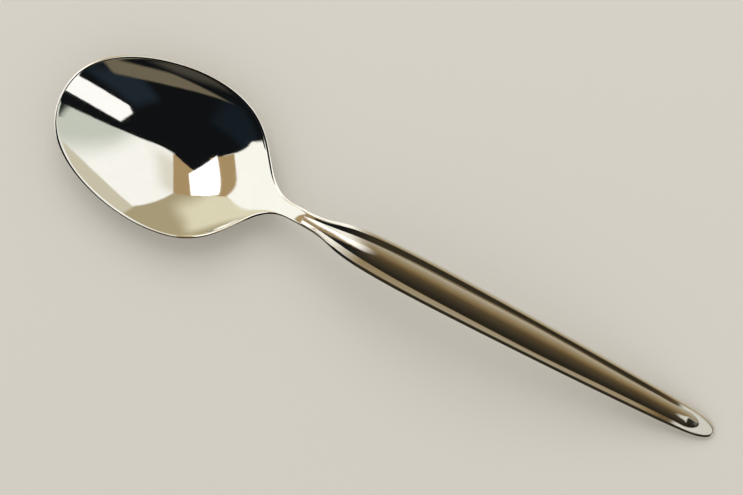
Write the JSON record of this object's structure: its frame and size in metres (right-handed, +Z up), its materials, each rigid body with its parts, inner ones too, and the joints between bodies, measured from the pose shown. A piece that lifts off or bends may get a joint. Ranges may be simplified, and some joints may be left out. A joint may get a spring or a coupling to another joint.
{
  "type": "soup spoon",
  "caption": "Soup spoon with a deep oval mirror-polished bowl and neck, and a satin hollow handle whose raised band tapers inside a flat border.",
  "frame": {"origin": "on the table, under the middle of the spoon's overall length and width, with the spoon lying bowl up", "axes": "+X along the spoon from the bowl's tip to the handle's tip, +Y across it, +Z up out of the open bowl"},
  "size_m": [0.2, 0.045, 0.0229],
  "materials": {
    "polished_steel": "polished",
    "satin_steel": "satin",
    "silver_solder": "satin",
    "cement": "matte"
  },
  "bodies": {
    "root": {"bowl": "polished_steel", "handle_top_shell": "satin_steel", "handle_back_shell": "satin_steel", "seam_solder": "silver_solder", "handle_filler": "cement"}
  },
  "joints": []
}
